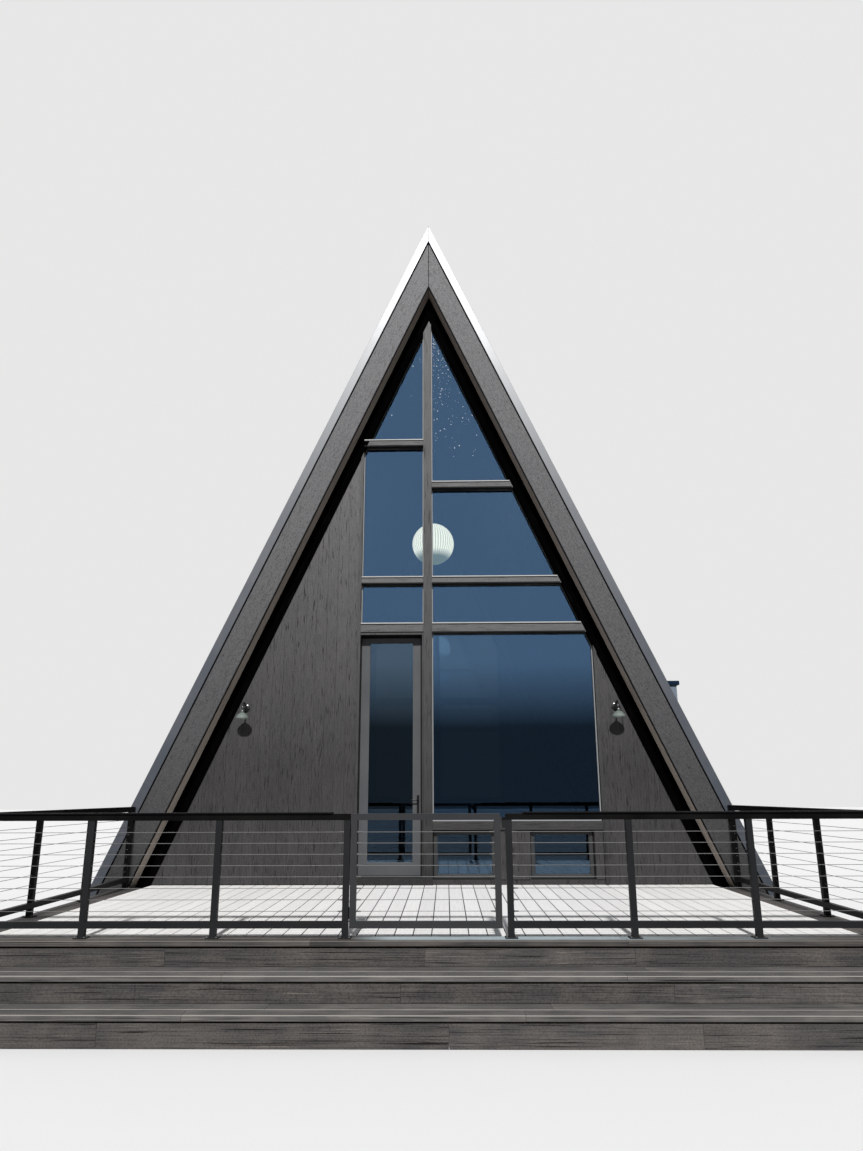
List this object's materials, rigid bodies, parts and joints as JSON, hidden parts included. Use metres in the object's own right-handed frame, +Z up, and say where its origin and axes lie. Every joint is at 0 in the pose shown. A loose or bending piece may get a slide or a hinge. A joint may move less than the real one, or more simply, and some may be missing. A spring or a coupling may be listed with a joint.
{
  "type": "a-frame cabin",
  "caption": "Steep A-frame cabin with a glazed timber gable, full-height glass door, railed front deck with a cable gate, and full-width steps.",
  "frame": {"origin": "on the ground, at the centre of the footprint's box", "axes": "+Z up, the glazed front with the deck and steps faces -Y, +X to the right seen from the front"},
  "size_m": [8.6596, 13.87, 9.957],
  "materials": {
    "concrete": "cast, slightly rough",
    "floor_wood": "oiled boards",
    "ceiling_wood": "dark stained boards",
    "roof_metal": "dark slate blue, semi gloss",
    "rake_metal": "dark slate blue, glossy",
    "fascia_wood": "charcoal stain, fine grain",
    "soffit_wood": "dark brown stain",
    "wall_boards": "charcoal stained vertical boards",
    "frame_wood": "charcoal stain, weathered",
    "raking_wood": "near black stain",
    "clear_glass": "clear, faint green edge",
    "sash_paint": "charcoal, satin",
    "black_metal": "black, satin",
    "dormer_panel": "light grey, satin",
    "deck_boards": "pale painted boards",
    "dark_deck": "charcoal stain, worn and scratched",
    "joist_wood": "treated timber",
    "railing_steel": "black powder coat",
    "gate_steel": "dark grey powder coat",
    "cable_steel": "stranded wire",
    "lamp_metal": "pale grey green, satin",
    "paper_globe": "white ribbed paper"
  },
  "bodies": {
    "cabin": {"awning_glass": "clear_glass", "awning_sashes": "sash_paint", "cap_rails": "railing_steel", "centre_post": "frame_wood", "cladding_left": "roof_metal", "cladding_right": "roof_metal", "deck_border": "dark_deck", "deck_floor": "deck_boards", "deck_joists": "joist_wood", "deck_posts": "joist_wood", "deck_skirts": "dark_deck", "door_frame": "frame_wood", "door_hinges": "black_metal", "dormer_glass": "clear_glass", "dormer_roof": "rake_metal", "dormer_walls": "dormer_panel", "eave_boards": "fascia_wood", "fascias": "fascia_wood", "floor": "floor_wood", "foundation": "concrete", "front_wall": "wall_boards", "gable_glass": "clear_glass", "jambs": "frame_wood", "pendant_lamp": "paper_globe", "railing_cables": "cable_steel", "railing_front_left": "railing_steel", "railing_front_right": "railing_steel", "railing_side_left": "railing_steel", "railing_side_right": "railing_steel", "rails": "frame_wood", "rake_trims": "rake_metal", "raking_frames": "raking_wood", "rear_frame": "frame_wood", "rear_glass": "clear_glass", "rear_wall": "wall_boards", "ridge_cap": "roof_metal", "roof_left": "ceiling_wood", "roof_right": "ceiling_wood", "soffits": "soffit_wood", "step_risers": "dark_deck", "step_stringers": "joist_wood", "step_treads": "dark_deck", "wall_lamps": "lamp_metal"},
    "door": {"door_leaf": "sash_paint", "door_glass": "clear_glass", "door_handle": "black_metal"},
    "gate": {"gate_frame": "gate_steel", "gate_cables": "cable_steel"}
  },
  "joints": [
    {"name": "door_swing", "type": "hinge", "parent": "cabin", "child": "door", "pos_m": [-0.9275, -2.204, 1.59], "axis": [0, 0, 1], "range_deg": [0, 90]},
    {"name": "gate_swing", "type": "hinge", "parent": "cabin", "child": "gate", "pos_m": [-0.575, -6.166, 1.09], "axis": [0, 0, 1], "range_deg": [0, 90]}
  ]
}
